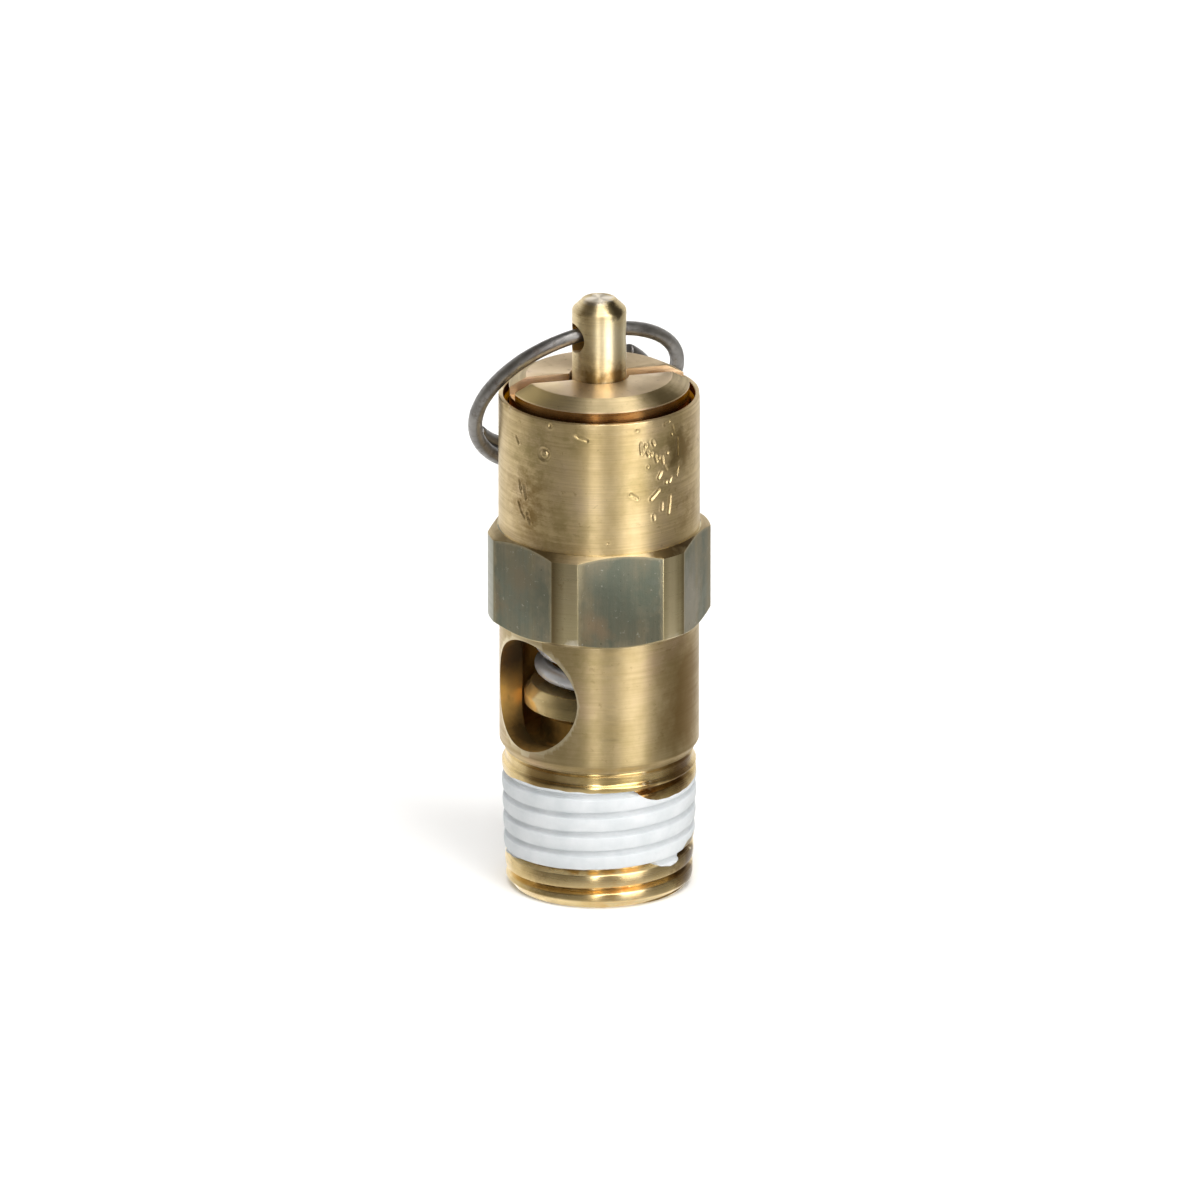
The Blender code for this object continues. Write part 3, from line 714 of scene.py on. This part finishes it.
# sealant coat: fills the roots, thins out at ragged ends
LOW_EDGE = [(-42, 2.00), (-27, 2.15), (-12, 2.42), (8, 2.56), (28, 2.67), (48, 2.76),
            (68, 2.83), (82, 2.88), (87, 2.66), (92, 2.38), (100, 2.33), (106, 2.50),
            (110, 3.15), (116, 3.50), (128, 3.60), (158, 3.50), (198, 3.0), (248, 2.60),
            (298, 2.10), (318, 2.00)]
TOP_EDGE = [(-42, 8.10), (-27, 8.35), (-12, 8.70), (28, 8.80), (66, 8.74), (71, 8.56),
            (77, 8.06), (86, 7.76), (103, 7.80), (123, 7.95), (138, 8.10), (178, 8.50),
            (228, 8.70), (288, 8.40), (318, 8.10)]


def wrapped(angle):
    """The same bearing between -42 and 318 degrees, where the edge tables start and end."""
    return (angle + 42.0) % 360.0 - 42.0


def edge_height(table, angle, ragged):
    xs, ys = zip(*table)
    a = wrapped(angle)
    at = sum(float(np.interp(wrapped(a + d), xs, ys)) for d in (-3, 0, 3)) / 3
    return at + ragged * noise.noise(Vector((math.cos(math.radians(a)) * 9,
                                             math.sin(math.radians(a)) * 9, at)))


def coat_point(angle, share):
    low = edge_height(LOW_EDGE, angle, 0.07)
    top = edge_height(TOP_EDGE, angle, 0.07)
    z = low + (top - low) * share
    brass = thread_radius(angle, z)
    full = 6.60 + (z - 2.95) * 0.030 - 0.30 * (1 - thread_form(angle, z, 0.09, 0.16))
    full += 0.034 * noise.noise(direction(angle) * 7.0 + Vector((0, 0, z * 1.1)))
    full += 0.010 * noise.noise(direction(angle) * 22.0 + Vector((5, 0, z * 4.0)))
    cover = smoothstep((z - low) / 0.30) * smoothstep((top - z) / 0.30)
    return brass - 0.03 + (max(full, brass + 0.05) - brass + 0.03) * cover, z


white = Shader("dried_sealant")
chalk = white.noise((0.5, 0.5, 0.5), 4)
grain = white.noise((5.0, 5.0, 5.0), 3)
tone = white.ramp(chalk, [(0.35, (0.48, 0.51, 0.53)), (0.65, (0.56, 0.58, 0.60))])
# painted shade: blue-grey darkening where the coat turns concave, in the thread grooves
tone = white.mix(white.math("MULTIPLY", white.edges(0.50, 0.42), 0.55), tone,
                 (0.36, 0.385, 0.42))
white.set("Base Color", tone)
white.set("Roughness", white.span(grain, 0.3, 0.7, 0.42, 0.62))
white.set("Normal", white.bump(grain, 0.02, 0.4))
coat = tube("sealant_coat", 480, 220, coat_point, 5.9, 60)
finish_piece(coat, "valve", ["thread_sealant"], "white_sealant", white.mat)

# adjusting cap
cap = revolve("slotted_cap", rounded([
    (2.08, CAP_FLAT_Z), (5.08, CAP_FLAT_Z, 0.10), (CAP_R - 0.04, CAP_EDGE_Z, 0.08),
    (CAP_R - 0.06, CAP_EDGE_Z - 0.16), (CAP_R - 0.06, 33.3), (6.0, 33.0),
    (2.08, 33.0)], 0.05), even(192))
bm = bmesh.new()
bmesh.ops.create_cube(bm, size=1.0)
bmesh.ops.scale(bm, vec=Vector((15.0, SLOT_WIDTH, SLOT_DEPTH + 1.0)) * MM, verts=bm.verts)
slot_mesh = bpy.data.meshes.new("slot_cutter")
bm.to_mesh(slot_mesh)
bm.free()
slot = new_object("slot_cutter", slot_mesh)
slot.location.z = (CAP_FLAT_Z - SLOT_DEPTH + (SLOT_DEPTH + 1.0) / 2) * MM
along = direction(SLOT_ANGLE)
slot.rotation_euler.z = math.atan2(along.y, along.x)
cut(cap, [slot], bevel=0.06, bevel_angle=35)
cap_brass = brass_material(
    "faced_brass", (0.84, 0.66, 0.42), (0.68, 0.52, 0.30), (0.88, 0.68, 0.50),
    (0.34, 0.48), streak=0.35, stain=0.4, wear=0,
    # painted highlight: the lighter, more golden patch at bearing -14 on the cap's flat
    blobs=((-14, 5.2, 37.0, 2.2, 1.2, 0.95, (0.94, 0.74, 0.44)),))
finish_piece(cap, "valve", ["adjusting_cap"], "turned_brass", cap_brass,
             (groove_brass, lambda r, z, n: z < CAP_EDGE_Z - 0.10 and r > 6.1),
             (cone_brass, lambda r, z, n: r > 5.0 and 0.5 < n.z < 0.98),
             (milled_brass, lambda r, z, n: z < CAP_FLAT_Z - 0.02
              and abs(n.xy @ direction(SLOT_ANGLE - 90.0).xy) > 0.9
              and r * abs(math.hypot(n.x, n.y)) < 6.0))

# lift stem
stem = revolve("pull_stem", rounded([
    (0.0, STEM_TOP, 0), (1.12, STEM_TOP, 0.10), (STEM_R, STEM_TOP - 0.75, 0.12),
    (STEM_R, 30.20), (2.3, 29.85), (2.5, 29.65), (2.5, 17.96), (1.88, 17.96),
    (1.88, 17.0), (1.55, 17.0), (1.55, 16.3), (1.88, 16.3), (1.88, 15.25),
    (1.55, 14.9), (0.0, 14.9, 0)], 0.05, closed=False), even(128), closed=False)
cut(stem, [cross_cylinder(HOLE_R, HOLE_ANGLE, HOLE_Z, -3.0, 3.0, 64)],
    bevel=0.06, bevel_angle=45, segments=3)
stem_brass = brass_material(
    "stem_brass", (0.90, 0.74, 0.44), (0.76, 0.61, 0.33), (0.94, 0.78, 0.50),
    (0.40, 0.52), streak=0.45, stain=0.45, wear=0,
    # painted light and shade: the near-white top flat and the lighter patch at bearing 94
    # are painted highlights; the dark patch at 90 on the top chamfer, the brown patches at
    # 8 and 20 and the dark patches at the foot (30, 85) are painted shade
    blobs=((0, 0.0, 42.66, 0.95, 0.15, 0.9, (0.95, 0.87, 0.74)),
           (94, 1.9, 39.7, 1.7, 0.9, 0.95, (1.0, 0.90, 0.64)),
           (90, 1.65, 42.2, 0.62, 0.25, 0.9, (0.12, 0.09, 0.04)),
           (8, 1.8, 41.9, 0.8, 0.5, 0.7, (0.40, 0.27, 0.11)),
           (20, 1.9, 38.6, 1.0, 0.7, 0.5, (0.44, 0.32, 0.14)),
           (30, 1.9, 37.4, 0.75, 0.5, 0.9, (0.30, 0.19, 0.06)),
           (85, 1.9, 37.4, 0.8, 0.5, 0.9, (0.30, 0.17, 0.05))))
finish_piece(stem, "stem", ["lift_stem"], "stem_brass", stem_brass,
             (inner_brass, lambda r, z, n: abs(z - HOLE_Z) < 1.0 and r < 1.72
              and abs(n.xy @ direction(HOLE_ANGLE).xy) < 0.3))


# pull ring
def ring_path(count=340):
    """Centreline of the wound pull ring, as in the CAD."""
    ring_r, tilt = 7.473, math.radians(36.6)
    start, end, rise, open_from = 128.0, 681.0, 1.40, 480.0
    open_r, open_axial, open_drop, open_side = 7.20, 3.54, 4.65, 0.14
    side, lift = 0.115, 0.33
    hinge, back = direction(HOLE_ANGLE), direction(HOLE_ANGLE - 90.0)
    z = Vector((0, 0, 1))
    down = back * math.sin(tilt) - z * math.cos(tilt)
    normal = -back * math.cos(tilt) - z * math.sin(tilt)
    points = []
    for i in range(count + 1):
        wind = start + (end - start) * i / count
        opened = smoothstep((wind - open_from) / (end - open_from))
        radius = ring_r + (open_r - ring_r) * opened
        axial = (wind - 360.0) / 360.0 * rise - open_axial * opened
        a = math.radians(wind)
        points.append(down * (ring_r + open_drop * opened - radius * math.cos(a))
                      + hinge * (radius * math.sin(a) - side + open_side * opened)
                      + normal * axial + z * (HOLE_Z + lift))
    return points


steel = Shader("drawn_steel")
mottle = steel.noise((0.5, 0.5, 0.5), 4)
grime = steel.noise((1.8, 1.8, 1.8), 4, offset=(2, 2, 2))
tone = steel.ramp(mottle, [(0.35, (0.20, 0.19, 0.185)), (0.65, (0.32, 0.31, 0.30))])
tone = steel.mix(steel.span(grime, 0.55, 0.70, 0.0, 0.6), tone, (0.13, 0.10, 0.08))
steel.set("Base Color", tone)
steel.set("Metallic", 1.0)
steel.set("Roughness", steel.span(grime, 0.3, 0.7, 0.30, 0.52))
steel.set("Normal", steel.bump(steel.noise((4.0, 4.0, 4.0), 3), 0.02, 0.5))
ring = sweep("wire_ring", ring_path(), 0.50, sides=28, wobble=0.015)
finish_piece(ring, "ring", ["pull_ring"], "ring_steel", steel.mat)


# spring
def coil_height(turn, wire=0.60, coils=8.6, ends=0.9):
    closed = 2 * wire + 0.06
    pitch = (SPRING_TOP - SPRING_LOW - 2 * wire - 2 * ends * closed) / (coils - 2 * ends)
    return (SPRING_LOW + wire + min(turn, ends) * closed
            + min(max(turn - ends, 0.0), coils - 2 * ends) * pitch
            + max(turn - (coils - ends), 0.0) * closed)


coil = []
for i in range(761):
    turn = 8.6 * i / 760
    out = direction(120.0 - 360.0 * turn) * 3.90
    coil.append((out.x, out.y, coil_height(turn)))
wire = Shader("spring_wire")
sheen = wire.noise((0.7, 0.7, 0.7), 4)
wire.set("Base Color", wire.ramp(sheen, [(0.35, (0.46, 0.47, 0.49)),
                                         (0.65, (0.62, 0.63, 0.65))]))
wire.set("Metallic", 0.55)
wire.set("Roughness", wire.span(sheen, 0.3, 0.7, 0.24, 0.42))
wire.set("Normal", wire.bump(wire.noise((5.0, 5.0, 5.0), 3), 0.015, 0.4))
spring = sweep("coil_spring", coil, 0.60, sides=18)
finish_piece(spring, "valve", ["spring"], "spring_steel", wire.mat)
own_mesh(spring)

# disc holder
holder = revolve("holder", rounded([
    (0.0, 14.8, 0), (1.95, 14.8), (1.95, 16.3), (2.36, 16.3), (2.36, 17.0), (1.95, 17.0),
    (1.95, 17.9), (2.70, 17.9), (2.95, 17.65), (2.95, 14.7), (4.7, 14.7), (5.2, 13.97),
    (5.2, 13.2), (4.25, 13.2), (4.25, 13.9), (0.0, 13.9, 0)], 0.06, closed=False),
    even(144), closed=False)
finish_piece(holder, "poppet", ["disc_holder"], "turned_brass", holder_brass)

rubber = Shader("moulded_rubber")
rubber.set("Base Color", rubber.ramp(rubber.noise((2.0, 2.0, 2.0), 4),
                                     [(0.3, 0.035), (0.7, 0.06)]))
rubber.set("Roughness", rubber.span(rubber.noise((3.0, 3.0, 3.0), 3), 0.3, 0.7, 0.55, 0.75))
for node, mat in (("spring_washer", wire.mat), ("stem_snap_ring", wire.mat),
                  ("seal_disc", rubber.mat)):
    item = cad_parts[node]
    item.data.materials.clear()
    item.data.materials.append(mat)

# ---- floor, light and camera ------------------------------------------------------------
bpy.context.scene.view_settings.view_transform = "Standard"
bpy.ops.mesh.primitive_plane_add(size=4.0, location=(0, 0, 0))
floor = bpy.context.object
floor.name = "floor"
floor_mat = Shader("floor_white")
floor_mat.set("Base Color", floor_mat.ramp(
    floor_mat.noise((0.004, 0.004, 0.004), 2), [(0.3, 0.93), (0.7, 0.95)]))
floor_mat.set("Roughness", 0.9)
floor.data.materials.append(floor_mat.mat)
floor.visible_glossy = False
floor.visible_shadow = False

VIEW_AZ, VIEW_EL = 48.0, 19.5
TARGET = (Vector((0, 0, 20.5)) + direction(VIEW_AZ + 90.0) * 0.055) * MM


def aim(item, place, target):
    item.location = place
    item.rotation_mode = "QUATERNION"
    item.rotation_quaternion = (target - place).to_track_quat("-Z", "Y")


def seen_at(angle, elevation, distance):
    """Point at a bearing (0 towards the camera, positive to the right)."""
    out = direction(VIEW_AZ + angle)
    e = math.radians(elevation)
    return TARGET + (out * math.cos(e) + Vector((0, 0, math.sin(e)))) * distance


# soft surround: bright behind the object and to the left, dim in front and low down
world = bpy.data.worlds.new("studio")
bpy.context.scene.world = world
world.use_nodes = True
tree = world.node_tree
where = tree.nodes.new("ShaderNodeTexCoord")


def world_ramp(axis, low, high, stops):
    dot = tree.nodes.new("ShaderNodeVectorMath")
    dot.operation = "DOT_PRODUCT"
    dot.inputs[1].default_value = axis
    spread = tree.nodes.new("ShaderNodeMapRange")
    spread.inputs["From Min"].default_value = low
    spread.inputs["From Max"].default_value = high
    ramp = tree.nodes.new("ShaderNodeValToRGB")
    tree.links.new(where.outputs["Generated"], dot.inputs[0])
    tree.links.new(dot.outputs["Value"], spread.inputs["Value"])
    tree.links.new(spread.outputs["Result"], ramp.inputs["Fac"])
    elements = ramp.color_ramp.elements
    while len(elements) < len(stops):
        elements.new(0.5)
    for element, (pos, colour) in zip(elements, stops):
        element.position, element.color = pos, (*colour, 1.0)
    return ramp.outputs["Color"]


around = world_ramp(direction(VIEW_AZ - 165.0), -1.0, 1.0, [
    (0.0, (0.17, 0.16, 0.14)), (0.48, (0.20, 0.185, 0.155)), (0.62, (0.38, 0.36, 0.32)),
    (0.80, (0.75, 0.74, 0.71)), (1.0, (1.1, 1.1, 1.1))])
above = world_ramp((0, 0, 1), 0.0, 1.0, [
    (0.0, (1, 1, 1)), (0.42, (1, 1, 1)), (0.65, (0.42, 0.41, 0.40)),
    (1.0, (0.14, 0.14, 0.13))])
both = tree.nodes.new("ShaderNodeVectorMath")
both.operation = "MULTIPLY"
tree.links.new(around, both.inputs[0])
tree.links.new(above, both.inputs[1])
below = world_ramp((0, 0, 1), -1.0, 0.0, [
    (0.0, (0.62, 0.62, 0.60)), (0.32, (0.55, 0.54, 0.52)), (0.55, (0.14, 0.14, 0.13)),
    (0.70, (0, 0, 0)), (1.0, (0, 0, 0))])
total = tree.nodes.new("ShaderNodeVectorMath")
total.operation = "ADD"
tree.links.new(both.outputs["Vector"], total.inputs[0])
tree.links.new(below, total.inputs[1])
background = tree.nodes["Background"]
tree.links.new(total.outputs["Vector"], background.inputs["Color"])
background.inputs["Strength"].default_value = 1.0


def area(name, angle, elevation, distance, size, size_y, power, colour=(1, 1, 1)):
    data = bpy.data.lights.new(name, "AREA")
    data.shape = "RECTANGLE"
    data.size, data.size_y = size, size_y
    data.energy = power
    data.color = colour
    item = bpy.data.objects.new(name, data)
    bpy.context.scene.collection.objects.link(item)
    aim(item, seen_at(angle, elevation, distance), TARGET)
    return item


# a tall soft box to the right of the camera, a narrow strip beside it, one overhead
area("soft_box", 40, 36, 0.6, 0.35, 1.15, 4.9, (1.0, 0.99, 0.97))
area("strip", -5, 36, 0.6, 0.085, 1.15, 1.7, (1.0, 0.99, 0.97))
overhead = area("overhead", -60, 80, 0.6, 0.7, 0.7, 3.3)
overhead.visible_glossy = False

CAMERA_DISTANCE, VIEW_WIDTH, SENSOR = 2.50, 0.0832, 36.0
camera_data = bpy.data.cameras.new("camera")
camera_data.sensor_width = SENSOR
camera_data.clip_start, camera_data.clip_end = 0.01, 20.0
camera_data.lens = SENSOR * CAMERA_DISTANCE / VIEW_WIDTH
camera = bpy.data.objects.new("camera", camera_data)
bpy.context.scene.collection.objects.link(camera)
aim(camera, seen_at(0, VIEW_EL, CAMERA_DISTANCE), TARGET)
bpy.context.scene.camera = camera
